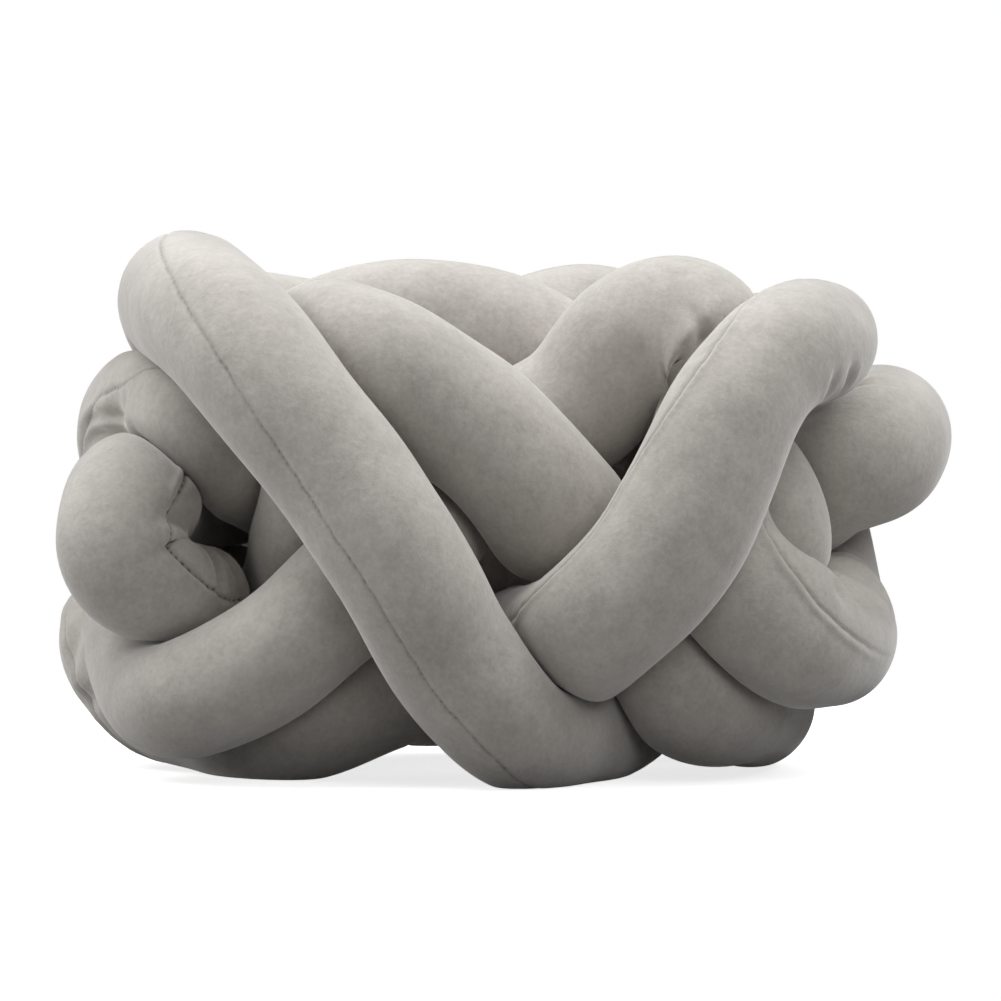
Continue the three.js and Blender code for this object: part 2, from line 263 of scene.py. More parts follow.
def evenly(points: np.ndarray, step: float) -> np.ndarray:
    """Evenly spaced points on the smooth curve through the given ones.

    Args:
        points: the points that the curve passes, one in each row.
        step: the wanted spacing.

    Returns:
        The points on the curve, its two ends among them.
    """
    parts_between = 24
    ends = np.vstack([2 * points[0] - points[1], points, 2 * points[-1] - points[-2]])
    pieces = []
    for p0, p1, p2, p3 in zip(ends, ends[1:], ends[2:], ends[3:]):
        t1 = math.sqrt(np.linalg.norm(p1 - p0))
        t2 = t1 + math.sqrt(np.linalg.norm(p2 - p1))
        t3 = t2 + math.sqrt(np.linalg.norm(p3 - p2))
        t = np.linspace(t1, t2, parts_between, endpoint=False)[:, None]
        a1 = (t1 - t) / t1 * p0 + t / t1 * p1
        a2 = (t2 - t) / (t2 - t1) * p1 + (t - t1) / (t2 - t1) * p2
        a3 = (t3 - t) / (t3 - t2) * p2 + (t - t2) / (t3 - t2) * p3
        b1 = (t2 - t) / t2 * a1 + t / t2 * a2
        b2 = (t3 - t) / (t3 - t1) * a2 + (t - t1) / (t3 - t1) * a3
        pieces.append((t2 - t) / (t2 - t1) * b1 + (t - t1) / (t2 - t1) * b2)
    curve = np.vstack([*pieces, points[-1:]])
    length = np.concatenate([[0.0], np.cumsum(np.linalg.norm(np.diff(curve, axis=0), axis=1))])
    count = max(2, round(length[-1] / step))
    at = np.linspace(0.0, length[-1], count + 1)
    return np.stack([np.interp(at, length, curve[:, axis]) for axis in range(3)], axis=1)


def unit(vectors: np.ndarray) -> np.ndarray:
    """The vectors in the last axis, each made 1 long."""
    return vectors / np.linalg.norm(vectors, axis=-1, keepdims=True)


def soft_min(a: np.ndarray, b: np.ndarray, round_over: float) -> np.ndarray:
    """The smaller of two sizes, rounded over where they are nearly alike.

    Args:
        a: the first size.
        b: the second one.
        round_over: how far apart the two are where the rounding starts.

    Returns:
        The smaller size, less up to a quarter of round_over where they meet.
    """
    near = np.clip(1 - np.abs(a - b) / round_over, 0, None)
    return np.minimum(a, b) - near * near * round_over / 4


@dataclass(frozen=True)
class Unevenness:
    """Soft hills and hollows that hand filling leaves, as a sum of waves in all directions."""

    seed: int
    longest: float
    shortest: float
    waves: int = 28

    def at(self, points: np.ndarray) -> np.ndarray:
        """The height at each point, most of it from -1 to 1.

        Args:
            points: places in space, in the last axis.

        Returns:
            One number for each place.
        """
        rng = np.random.default_rng(self.seed)
        ways = unit(rng.normal(size=(self.waves, 3)))
        lengths = rng.uniform(self.shortest, self.longest, self.waves)
        starts = rng.uniform(0, 2 * math.pi, self.waves)
        total = np.zeros(points.shape[:-1])
        for way, length, start in zip(ways, lengths, starts):
            total += np.sin(points @ way * (2 * math.pi / length) + start)
        return total / math.sqrt(self.waves)


@dataclass
class CentreLine:
    """A tube's settled centre line.

    Each point has the way the line runs there, how it bends, its half thickness and its length so far.
    """

    points: np.ndarray
    rows: list[Bend]
    window: int = 6
    along: np.ndarray = field(init=False)
    bend: np.ndarray = field(init=False)
    r: np.ndarray = field(init=False)
    length: np.ndarray = field(init=False)

    def __post_init__(self) -> None:
        """Works out the directions, bends, thicknesses and lengths along the line."""
        count = len(self.points)
        order = np.arange(count)
        ahead = np.minimum(order + 1, count - 1)
        behind = np.maximum(order - 1, 0)
        self.along = unit(self.points[ahead] - self.points[behind])
        far_ahead = np.minimum(order + self.window, count - 1)
        far_behind = np.maximum(order - self.window, 0)
        apart = np.linalg.norm(self.points[far_ahead] - self.points[far_behind], axis=1)
        self.bend = (self.along[far_ahead] - self.along[far_behind]) / apart[:, None]
        share = np.linspace(0, len(self.rows) - 1, count)
        self.r = np.interp(share, np.arange(len(self.rows)), [row.r for row in self.rows])
        steps = np.linalg.norm(np.diff(self.points, axis=0), axis=1)
        self.length = np.concatenate([[0.0], np.cumsum(steps)])


@dataclass
class Plait:
    """The six centre lines, pressed apart until no tube lies in another.

    Each route becomes a string of beads, which push each other apart and drift back to where they were
    laid. Beads at the front move less than those at the back, so that the front keeps its pattern.
    """

    bead: float = 0.010
    reach: float = 0.050
    passes: int = 60
    push: float = 0.8
    recall: float = 0.03
    alongside: int = 8
    spread: int = 4
    front_hold: float = 0.12
    back_give: float = 0.6
    front_y: float = -0.0376
    back_y: float = 0.0524
    seat: float = 0.027
    step: float = 0.002
    rounding: int = 12

    def settle(self) -> dict[str, CentreLine]:
        """Lays the routes, presses them apart and smooths them.

        Returns:
            Each tube's centre line by its name.
        """
        routes = [np.array([(bend.x, bend.y, bend.z) for bend in rows]) for rows in ROUTES.values()]
        lines = [evenly(route, self.bead) for route in routes]
        tube = np.concatenate([np.full(len(line), i) for i, line in enumerate(lines)])
        order = np.concatenate([np.arange(len(line)) for line in lines])
        laid = np.vstack(lines)
        free = np.clip((laid[:, 1] - self.front_y) / (self.back_y - self.front_y), 0, 1)
        side = self.front_hold + self.back_give * free
        give = np.stack([side, np.ones_like(side), side], axis=1)
        same = tube[:, None] == tube[None, :]
        apart = ~(same & (np.abs(order[:, None] - order[None, :]) < self.alongside))
        inner = np.flatnonzero(tube[:-2] == tube[2:]) + 1
        at = laid.copy()
        for _ in range(self.passes):
            offset = at[:, None, :] - at[None, :, :]
            distance = np.linalg.norm(offset, axis=2)
            pressing = apart & (distance < self.reach)
            force = np.where(pressing, (self.reach - distance) / np.where(pressing, distance, 1), 0)
            touching = np.maximum(1, pressing.sum(axis=1))[:, None]
            moves = (offset * force[:, :, None]).sum(axis=1) * self.push / touching * give
            for _ in range(self.spread):
                shared = moves.copy()
                shared[inner] = moves[inner] * KEPT + (moves[inner - 1] + moves[inner + 1]) * TAKEN
                moves = shared
            at = at - self.recall * (at - laid) + moves
            at[:, 2] = np.maximum(at[:, 2], self.seat)
        return {name: self.smoothed(at[tube == i], ROUTES[name]) for i, name in enumerate(ROUTES)}

    def smoothed(self, beads: np.ndarray, rows: list[Bend]) -> CentreLine:
        """A centre line through every second bead, rounded off where settling leaves a kink.

        Args:
            beads: the tube's settled points.
            rows: its route.

        Returns:
            The centre line.
        """
        last = len(beads) - 1
        kept = [i for i in range(len(beads)) if i % 2 == 0 or i == last]
        line = evenly(beads[kept], self.step)
        before = 2 * line[0] - line[self.rounding:0:-1]
        after = 2 * line[-1] - line[-2:-self.rounding - 2:-1]
        longer = np.vstack([before, line, after])
        weights = np.hanning(2 * self.rounding + 3)[1:-1]
        weights = weights / weights.sum()
        rounded = [np.convolve(longer[:, axis], weights, mode="valid") for axis in range(3)]
        return CentreLine(np.stack(rounded, axis=1), rows)


@dataclass(frozen=True)
class SeamShape:
    """The relief of a long seam: a sewn groove, a ridge of cloth beside it, and puckers across.

    The ridge and the puckers come and go along the tube, in two waves that drift against each other.
    """

    depth: float
    ridge: float
    pucker: float
    stitches: float
    groove_width: float = 0.0012
    ridge_width: float = 0.0020
    ridge_place: float = 0.0034
    pucker_reach: float = 0.010
    pucker_pitch: float = 0.0085
    drift_waves: tuple[float, float] = (61.0, 23.0)
    drift_lag: float = 1.3
    least_ridge: float = 0.6
    pucker_wander: float = 2.2
    wander_wave: float = 47.0
    pucker_lean: float = 60.0

    def at(self, along: np.ndarray, aside: np.ndarray) -> np.ndarray:
        """How far the cloth stands out at each place.

        Args:
            along: length along the tube.
            aside: distance round the tube from the seam, with its sign.

        Returns:
            Heights in metres, below zero in the groove.
        """
        first, second = self.drift_waves
        drift = 0.5 + 0.5 * np.sin(along * first) * np.sin(along * second + self.drift_lag)
        groove = -self.depth * np.exp(-((aside / self.groove_width) ** 2))
        from_ridge = (aside - self.ridge_place) / self.ridge_width
        height = self.ridge * (self.least_ridge + (1 - self.least_ridge) * drift)
        ridge = height * np.exp(-(from_ridge**2))
        wander = self.pucker_wander * np.sin(along * self.wander_wave)
        phase = 2 * math.pi * along / self.pucker_pitch + wander + self.pucker_lean * np.abs(aside)
        fade = np.exp(-((aside / self.pucker_reach) ** 2)) * np.abs(np.tanh(aside / self.groove_width))
        pucker = self.pucker * drift * np.sin(phase) * fade
        return groove + ridge + pucker


SEAM_SHAPES: dict[SeamLook, SeamShape] = {
    SeamLook.FLAT: SeamShape(depth=0.0007, ridge=0.0002, pucker=0.00010, stitches=0.5),
    SeamLook.RIDGED: SeamShape(depth=0.0010, ridge=0.0010, pucker=0.00018, stitches=0.15),
    SeamLook.PUCKERED: SeamShape(depth=0.0016, ridge=0.0008, pucker=0.00080, stitches=1.6),
}


@dataclass(frozen=True)
class Fold:
    """A crease that the cloth takes at a place on a tube; with a depth below zero it is a puff.

    It lies across the tube, turned by the slant, and faces the way that x, y and z give. The cloth
    rises in a low roll on each side of it.
    """

    share: float
    x: float
    y: float
    z: float
    depth: float
    width: float
    half_length: float
    slant: float = 0.0
    roll_height: float = 0.3
    roll_place: float = 2.0

    def at(self, ahead: np.ndarray, aside: np.ndarray) -> np.ndarray:
        """How far the cloth stands out at each place.

        Args:
            ahead: length along the tube from the fold's middle.
            aside: distance round the tube from the fold's middle.

        Returns:
            Heights in metres, below zero in a crease.
        """
        across = (ahead * math.cos(self.slant) - aside * math.sin(self.slant)) / self.width
        down = (ahead * math.sin(self.slant) + aside * math.cos(self.slant)) / self.half_length
        rolls = np.exp(-((across - self.roll_place) ** 2)) + np.exp(-((across + self.roll_place) ** 2))
        rolls = self.roll_height * rolls
        return self.depth * (rolls - np.exp(-across * across)) * np.exp(-down * down)


@dataclass(frozen=True)
class Gathers:
    """Folds across the inner side of a tight bend, where the cloth has nowhere to go.

    They start where the bend is tighter than starts_at, and are at their full depth from full_at on.
    Each range gives the least and the most of a measure that differs from fold to fold.
    """

    seed: int
    spacing: float = 0.016
    depth: float = 0.0040
    width: float = 0.0021
    starts_at: float = 0.75
    full_at: float = 1.15
    widening: float = 0.5
    first_place: tuple[float, float] = (0.5, 1.0)
    next_place: tuple[float, float] = (0.65, 1.35)
    skews: tuple[float, float] = (-0.004, 0.004)
    turns: tuple[float, float] = (-0.35, 0.35)
    half_widths: tuple[float, float] = (0.55, 1.15)
    depths: tuple[float, float] = (0.5, 1.1)

    def at(self, line: CentreLine, along: np.ndarray, from_inside: np.ndarray) -> np.ndarray:
        """How far the folds draw the cloth in.

        Args:
            line: the tube's centre line.
            along: length along the tube at each place.
            from_inside: angle round the tube from the inner side of its bend.

        Returns:
            Depths in metres, below zero.
        """
        rng = np.random.default_rng(self.seed)
        tight = np.linalg.norm(line.bend, axis=1) * line.r
        total = np.zeros_like(along)
        place = rng.uniform(*self.first_place) * self.spacing
        while place < line.length[-1]:
            strength = np.interp(place, line.length, tight)
            share = np.clip((strength - self.starts_at) / (self.full_at - self.starts_at), 0, 1)
            skew = rng.uniform(*self.skews)
            turn = rng.uniform(*self.turns)
            half_width = rng.uniform(*self.half_widths)
            depth = self.depth * rng.uniform(*self.depths)
            if share > 0:
                off = (from_inside - turn + math.pi) % (2 * math.pi) - math.pi
                width = self.width * (1 + self.widening * np.abs(off))
                across = (along - place - skew * off) / width
                total -= depth * share * np.exp(-across * across) * np.exp(-((off / half_width) ** 2))
            place += self.spacing * rng.uniform(*self.next_place)
        return total


class Label(Enum):
    """The measures that a tube's mesh carries for its material."""

    ALONG = "along"
    ASIDE = "aside"
    STITCHES = "stitches"


@dataclass
class Strand:
    """One stuffed plush tube, with its long seam and the gathers at its tight bends.

    The skin is worked out in rings round the centre line, as a size in each direction, with more points
    near the seam. The seam, the gathers and the folds are then pressed into the size.
    """

    name: str
    seam: list[SeamTurn]
    look: SeamLook
    seed: int
    folds: tuple[Fold, ...] = ()
    seam_fades_at: float = 2.0
    seam_fade: float = 0.008
    fill: float = 0.8
    sides: int = 128
    crowding: float = 0.45
    cap_steps: int = 14
    half_gap: float = 0.0005
    round_over: float = 0.006
    inner_bend: float = 0.8
    own_apart: int = 45
    near: float = 0.010
    lumps: float = 0.0004
    longest_lump: float = 0.085
    shortest_lump: float = 0.034
    slack: float = 0.0005
    floor_round: float = 0.0015
    waver: float = 0.00018
    waver_waves: tuple[tuple[float, float], ...] = ((640.0, 0.0), (410.0, 1.0), (170.0, 0.0))
    smoothing_passes: int = 2
    turn_window: int = 21
    least: float = 1e-3

    def frame_at_rings(self, line: CentreLine) -> tuple[np.ndarray, np.ndarray]:
        """Two directions square to the tube at each ring: the first faces where the seam lies.

        Args:
            line: the tube's centre line.

        Returns:
            The seam's direction and the direction a quarter turn on.
        """
        count = len(line.points)
        side = np.empty((count, 3))
        carried = np.cross((0.0, 0.0, 1.0), line.along[0])
        for i, along in enumerate(line.along):
            carried = unit(carried - carried.dot(along) * along)
            side[i] = carried
        across = np.cross(line.along, side)
        places = [turn.share * (count - 1) for turn in self.seam]
        angles = []
        for turn, place in zip(self.seam, places):
            i = round(place)
            way = np.array((turn.x, turn.y, turn.z))
            angles.append(math.atan2(way @ across[i], way @ side[i]))
        angle = self.eased(places, np.unwrap(angles), count)[:, None]
        seam = side * np.cos(angle) + across * np.sin(angle)
        quarter = across * np.cos(angle) - side * np.sin(angle)
        return seam, quarter

    def eased(self, places: list[float], values: np.ndarray, count: int) -> np.ndarray:
        """Values for every ring from the few given ones, shared out so that they change smoothly.

        Args:
            places: the rings that have a value, as whole or part numbers.
            values: their values.
            count: how many rings there are.

        Returns:
            One value for each ring.
        """
        window = self.turn_window
        straight = np.interp(np.arange(-window, count + window), places, values)
        weights = np.hanning(2 * window + 1)
        return np.convolve(straight, weights / weights.sum(), mode="valid")

    def reach(self, lines: dict[str, CentreLine], rings: np.ndarray, ways: np.ndarray) -> np.ndarray:
        """How far the skin can go before it meets a neighbour or the inside of a bend.

        Args:
            lines: every tube's centre line.
            rings: the ring that each row of places belongs to.
            ways: the direction from the ring's middle to each place.

        Returns:
            One distance for each place.
        """
        line = lines[self.name]
        everyone = np.vstack([other.points for other in lines.values()])
        far_along = -9999
        order = np.concatenate([
            np.arange(len(other.points)) if other is line else np.full(len(other.points), far_along)
            for other in lines.values()
        ])
        open_space = 1.0
        far = np.full(ways.shape[:2], open_space)
        for row, ring in enumerate(rings):
            offset = everyone - line.points[ring]
            half = np.linalg.norm(offset, axis=1) / 2
            close = (half < line.r[ring] + self.near) & (np.abs(order - ring) >= self.own_apart)
            if close.any():
                cosine = ways[row] @ (offset[close] / (2 * half[close, None])).T
                planes = (half[close] - self.half_gap) / np.maximum(cosine, self.least)
                far[row] = planes.min(axis=1)
            inward = ways[row] @ line.bend[ring]
            far[row] = np.minimum(far[row], self.inner_bend / np.maximum(inward, self.least))
        return far

    def build(self, lines: dict[str, CentreLine]) -> bpy.types.Object:
        """Makes the tube's closed mesh.

        Args:
            lines: every tube's centre line.

        Returns:
            The tube's object.
        """
        line = lines[self.name]
        count = len(line.points)
        lean = np.linspace(0, math.pi / 2, self.cap_steps + 2)[1:]
        leans = np.concatenate([-lean[::-1], np.zeros(count), lean])
        rings = np.clip(np.arange(-len(lean), count + len(lean)), 0, count - 1)
        turn = np.linspace(-1, 1, self.sides + 1)
        angle = math.pi * (self.crowding * turn**3 + (1 - self.crowding) * turn)
        seam, quarter = self.frame_at_rings(line)
        flat = seam[rings][:, None] * np.cos(angle)[None, :, None]
        flat = flat + quarter[rings][:, None] * np.sin(angle)[None, :, None]
        tilt = leans[:, None, None]
        ways = flat * np.cos(tilt) + line.along[rings][:, None] * np.sin(tilt)
        middle = line.points[rings][:, None]
        r = line.r[rings][:, None] - self.slack
        along = (line.length[rings] + line.r[rings] * leans)[:, None] + 0 * angle
        waver = self.waver * sum(np.sin(along * wave + lag) for wave, lag in self.waver_waves)
        aside = (r * angle + waver) * np.cos(leans)[:, None]

        filling = Unevenness(self.seed, longest=self.longest_lump, shortest=self.shortest_lump)
        full = r + self.lumps * filling.at(middle + ways * r[:, :, None])
        size = soft_min(full, self.reach(lines, rings, ways), self.round_over)
        size = self.smoothed(size)
        bend_quarter = (line.bend * quarter).sum(axis=1)
        bend_seam = (line.bend * seam).sum(axis=1)
        bend_angle = np.arctan2(bend_quarter, bend_seam)[rings][:, None]
        past_fade = (along / line.length[-1] - self.seam_fades_at) / self.seam_fade
        size = size + SEAM_SHAPES[self.look].at(along, aside) * (0.5 - 0.5 * np.tanh(past_fade))
        size = size + Gathers(self.seed).at(line, along, angle[None, :] - bend_angle)
        for fold in self.folds:
            way = np.array((fold.x, fold.y, fold.z))
            facing = np.arctan2(quarter @ way, seam @ way)[rings][:, None]
            off = (angle - facing + math.pi) % (2 * math.pi) - math.pi
            size = size + fold.at(along - fold.share * line.length[-1], off * line.r[rings][:, None])
        places = middle + ways * size[:, :, None]
        places[:, :, 2] = -soft_min(-places[:, :, 2], np.zeros_like(size), self.floor_round)
        # The last column is the first one again, so that the tube closes.
        places[:, -1] = places[:, 0]
        return self.mesh(places, along, aside)

    def smoothed(self, size: np.ndarray) -> np.ndarray:
        """Sizes with each one shared out a little to the rings beside it."""
        for _ in range(self.smoothing_passes):
            size[1:-1] = size[1:-1] * KEPT + (size[:-2] + size[2:]) * TAKEN
        return size

    def mesh(self, places: np.ndarray, along: np.ndarray, aside: np.ndarray) -> bpy.types.Object:
        """Rolls a flat grid of cloth into the tube and sews it up.

        Args:
            places: where each point of the grid goes, row by row along the tube.
            along: length along the tube of each point.
            aside: distance round the tube from the seam.

        Returns:
            The object with the finished mesh.
        """
        rows, columns = along.shape
        cloth = bmesh.new()
        cloth.loops.layers.uv.new("OFBake")
        segments = {"x_segments": columns - 1, "y_segments": rows - 1}
        bmesh.ops.create_grid(cloth, **segments, size=1.0, calc_uvs=True)
        mesh = bpy.data.meshes.new(self.name + "_plush")
        cloth.to_mesh(mesh)
        flat = np.empty(rows * columns * 3)
        mesh.vertices.foreach_get("co", flat)
        flat = flat.reshape(-1, 3)
        column = np.rint((flat[:, 0] + 1) / 2 * (columns - 1)).astype(int)
        row = np.rint((flat[:, 1] + 1) / 2 * (rows - 1)).astype(int)
        mesh.vertices.foreach_set("co", places[row, column].ravel())
        measures = {
            Label.ALONG: along,
            Label.ASIDE: np.abs(aside),
            Label.STITCHES: np.full_like(along, SEAM_SHAPES[self.look].stitches),
        }
        for label, values in measures.items():
            layer = mesh.attributes.new(label.value, "FLOAT", "POINT")
            layer.data.foreach_set("value", values[row, column])
        cloth.clear()
        cloth.from_mesh(mesh)
        bmesh.ops.remove_doubles(cloth, verts=cloth.verts, dist=SEWN_WITHIN)
        bmesh.ops.recalc_face_normals(cloth, faces=cloth.faces)
        cloth.to_mesh(mesh)
        cloth.free()
        mesh.shade_smooth()
        tube = bpy.data.objects.new(self.name + "_plush", mesh)
        bpy.context.scene.collection.objects.link(tube)
        return tube

    def dress(self, tube: bpy.types.Object, material: bpy.types.Material) -> None:
        """Gives the tube its plush and says what it stands for.

        Args:
            tube: the tube's object.
            material: the plush.
        """
        tube.data.materials.append(material)
        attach(tube, "root")
        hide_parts(self.name)


class Sum:
    """A shader socket that can be used in arithmetic: each sign adds a Math node."""

    def __init__(self, tree: bpy.types.NodeTree, socket: bpy.types.NodeSocket) -> None:
        """Keeps the socket and the tree that it is in."""
        self.tree = tree
        self.socket = socket

    def math(self, operation: str, *others: object, swapped: bool = False) -> "Sum":
        """Adds a Math node.

        Args:
            operation: the node's operation.
            others: the other values, numbers or sockets.
            swapped: whether this value comes after the first of the others.

        Returns:
            The node's result.
        """
        node = self.tree.nodes.new("ShaderNodeMath")
        node.operation = operation
        values = [self, *others]
        if swapped:
            values[0], values[1] = values[1], values[0]
        for socket, value in zip(node.inputs, values):
            if isinstance(value, Sum):
                self.tree.links.new(value.socket, socket)
            else:
                socket.default_value = value
        return Sum(self.tree, node.outputs[0])

    def __add__(self, other: object) -> "Sum":
        """This and another."""
        return self.math("ADD", other)

    __radd__ = __add__

    def __sub__(self, other: object) -> "Sum":
        """This less another."""
        return self.math("SUBTRACT", other)

    def __rsub__(self, other: object) -> "Sum":
        """Another less this."""
        return self.math("SUBTRACT", other, swapped=True)

    def __mul__(self, other: object) -> "Sum":
        """This times another."""
        return self.math("MULTIPLY", other)

    __rmul__ = __mul__

    def __truediv__(self, other: object) -> "Sum":
        """This shared by another."""
        return self.math("DIVIDE", other)

    def __rtruediv__(self, other: object) -> "Sum":
        """Another shared by this."""
        return self.math("DIVIDE", other, swapped=True)

    def clamped(self) -> "Sum":
        """This kept from 0 to 1."""
        return self.math("MAXIMUM", 0.0).math("MINIMUM", 1.0)

    def hump(self, width: float) -> "Sum":
        """A bell over distance from zero: 1 there, and nearly nothing two widths away."""
        return (self * self * (-1.0 / width**2)).math("EXPONENT")


class Bench:
    """The node tree of one material or world, where nodes are added and joined."""

    def __init__(self, tree: bpy.types.NodeTree) -> None:
        """Clears the tree."""
        self.tree = tree
        tree.nodes.clear()

    def node(
        self, kind: str, settings: dict[str, object], sockets: dict[object, object]
    ) -> bpy.types.Node:
        """Adds a node.

        Args:
            kind: the node's type.
            settings: its properties, which are set first.
            sockets: a number, colour or link for each input, by its name or place.

        Returns:
            The node.
        """
        node = self.tree.nodes.new(kind)
        for name, value in settings.items():
            setattr(node, name, value)
        for name, value in sockets.items():
            if isinstance(value, Sum):
                self.tree.links.new(value.socket, node.inputs[name])
            elif isinstance(value, bpy.types.NodeSocket):
                self.tree.links.new(value, node.inputs[name])
            else:
                node.inputs[name].default_value = value
        return node

    def value(self, node: bpy.types.Node, output: object = 0) -> Sum:
        """One of a node's outputs, ready for arithmetic."""
        return Sum(self.tree, node.outputs[output])

    def place(self) -> bpy.types.NodeSocket:
        """Where each point is on the piece."""
        return self.node("ShaderNodeTexCoord", {}, {}).outputs["Object"]

    def in_view(self) -> Sum:
        """1 where a thing is looked at, straight or in a mirror or through glass, and 0 elsewhere."""
        path = self.node("ShaderNodeLightPath", {}, {})
        seen = self.value(path, "Is Camera Ray") + self.value(path, "Is Glossy Ray")
        return (seen + self.value(path, "Is Transmission Ray")).clamped()

    def label(self, label: Label) -> Sum:
        """A measure that the mesh carries."""
        return self.value(self.node("ShaderNodeAttribute", {"attribute_name": label.value}, {}), "Fac")

    def blend(self, share: Sum, a: object, b: object) -> bpy.types.NodeSocket:
        """A colour between two, by a share from 0 to 1."""
        settings = {"data_type": "RGBA", "clamp_factor": True}
        sockets = {MIX_SHARE: share, MIX_FIRST_COLOUR: a, MIX_SECOND_COLOUR: b}
        return self.node("ShaderNodeMix", settings, sockets).outputs[MIX_COLOUR]


@dataclass(frozen=True)
class Grain:
    """A pattern in the pile: how fine it is, and how much it shades the cloth and lifts it."""

    scale: float
    detail: float = 1.0
    roughness: float = 0.5
    shading: float = 0.0
    lift: float = 0.0

    def on(self, bench: Bench, place: bpy.types.NodeSocket) -> Sum:
        """The pattern, from 0 to 1 with 0.5 in the middle.

        Args:
            bench: the material's tree.
            place: where each point is.

        Returns:
            The pattern's value.
        """
        sockets = {"Vector": place, "Scale": self.scale, "Detail": self.detail}
        sockets["Roughness"] = self.roughness
        return bench.value(bench.node("ShaderNodeTexNoise", {}, sockets))


@dataclass(frozen=True)
class Patches:
    """Soft-edged patches of a pattern, which start where it passes a level."""

    scale: float
    level: float
    gain: float

    def on(self, bench: Bench, place: bpy.types.NodeSocket) -> Sum:
        """The patches, 1 inside them and 0 between them.

        Args:
            bench: the material's tree.
            place: where each point is.

        Returns:
            The share of a patch at each point.
        """
        return ((Grain(self.scale).on(bench, place) - self.level) * self.gain).clamped()


@dataclass(frozen=True)
class Plush:
    """Short-pile velvet plush, with the running stitch of the long seams, and painted shade in the
    seams' grooves and stitch holes.
    """

    light: tuple[float, float, float, float] = (0.570, 0.538, 0.497, 1.0)
    dark: tuple[float, float, float, float] = (0.350, 0.329, 0.303, 1.0)
    # Colour of the painted shade in the seams' grooves and stitch holes.
    painted_seam_shade: tuple[float, float, float, float] = (0.060, 0.057, 0.052, 1.0)
    roughness: float = 0.92
    shine: float = 0.15
    sheen: float = 0.90
    sheen_roughness: float = 0.5
    sheen_tint: tuple[float, float, float, float] = (0.95, 0.94, 0.92, 1.0)
    nap: Grain = Grain(38.0, 2.0, shading=0.7)
    strokes: Grain = Grain(130.0, 2.0, 0.6, shading=0.7, lift=0.0006)
    tufts: Grain = Grain(420.0, 2.0, 0.6, shading=0.8, lift=0.00032)
    pile: Grain = Grain(1500.0, shading=0.3, lift=0.00014)
    relief: float = 0.5
    stitch: float = 0.003
    hole_taper: float = 2.6
    hole_width: float = 0.0007
    hole_depth: float = 0.0009
    hole_shade: float = 0.80
    pulled: Patches = Patches(110.0, level=0.40, gain=4.0)
    least_pull: float = 0.3
    # The painted shade along the seam's groove: how wide it is, how dark, and its least share, in
    # patches of uneven strength.
    crease_width: float = 0.0010
    crease_shade: float = 0.30
    least_crease: float = 0.10
    patchy_shade: Patches = Patches(260.0, level=0.30, gain=2.5)

    def material(self) -> bpy.types.Material:
        """Makes the plush material.

        Returns:
            The material, which every tube shares.
        """
        made = bpy.data.materials.new("plush")
        made.use_nodes = True
        bench = Bench(made.node_tree)
        place = bench.place()
        grains = (self.nap, self.strokes, self.tufts, self.pile)
        patterns = [grain.on(bench, place) for grain in grains]
        shade = sum((pattern - 0.5) * grain.shading for grain, pattern in zip(grains, patterns)) + 0.5
        cloth = bench.blend(shade.clamped(), self.dark, self.light)
        hole = self.stitch_holes(bench, place)
        # Painted shade in a narrow band along the seam's groove, stronger in some patches than in
        # others.
        patchy_shade = self.patchy_shade.on(bench, place) * self.crease_shade + self.least_crease
        painted_crease_shade = bench.label(Label.ASIDE).hump(self.crease_width) * patchy_shade
        # The painted shade of the groove and the holes sets how much of the dark seam colour is blended
        # into the cloth.
        seam_shade_share = (hole * self.hole_shade + painted_crease_shade).clamped()
        lift = sum(pattern * grain.lift for grain, pattern in zip(grains, patterns) if grain.lift)
        height = lift - hole * self.hole_depth
        relief = {"Strength": self.relief, "Distance": 1.0, "Height": height}
        bump = bench.node("ShaderNodeBump", {}, relief)
        sockets = {
            "Base Color": bench.blend(seam_shade_share, cloth, self.painted_seam_shade),
            "Roughness": self.roughness,
            "Sheen Weight": self.sheen,
            "Sheen Roughness": self.sheen_roughness,
            "Sheen Tint": self.sheen_tint,
            "Specular IOR Level": self.shine,
            "Normal": bump.outputs[0],
        }
        shader = bench.node("ShaderNodeBsdfPrincipled", {}, sockets)
        bench.node("ShaderNodeOutputMaterial", {}, {"Surface": shader.outputs[0]})
        return made

    def stitch_holes(self, bench: Bench, place: bpy.types.NodeSocket) -> Sum:
        """The small holes that the running stitch draws into the cloth, some of them pulled deeper:
        they sink the relief and carry painted shade.

        Args:
            bench: the material's tree.
            place: where each point is.

        Returns:
            How deep in a hole each point is, more than 1 where the stitches show most.
        """
        step = (bench.label(Label.ALONG) / self.stitch).math("FRACT") - 0.5
        taper = (1.0 - step.math("ABSOLUTE") * self.hole_taper).clamped()
        pull = self.pulled.on(bench, place) * (1.0 - self.least_pull) + self.least_pull
        across = bench.label(Label.ASIDE).hump(self.hole_width)
        return taper * across * pull * bench.label(Label.STITCHES)


@dataclass(frozen=True)
class Softbox:
    """A square lamp that faces a point."""

    name: str
    place: tuple[float, float, float]
    size: float
    power: float

    def hang(self, target: Vector) -> None:
        """Puts the lamp up.

        Args:
            target: the point that it faces.
        """
        data = bpy.data.lights.new(self.name, "AREA")
        data.size = self.size
        data.energy = self.power
        lamp = bpy.data.objects.new(self.name, data)
        lamp.location = self.place
        lamp.rotation_euler = (target - Vector(self.place)).to_track_quat("-Z", "Y").to_euler()
        bpy.context.scene.collection.objects.link(lamp)


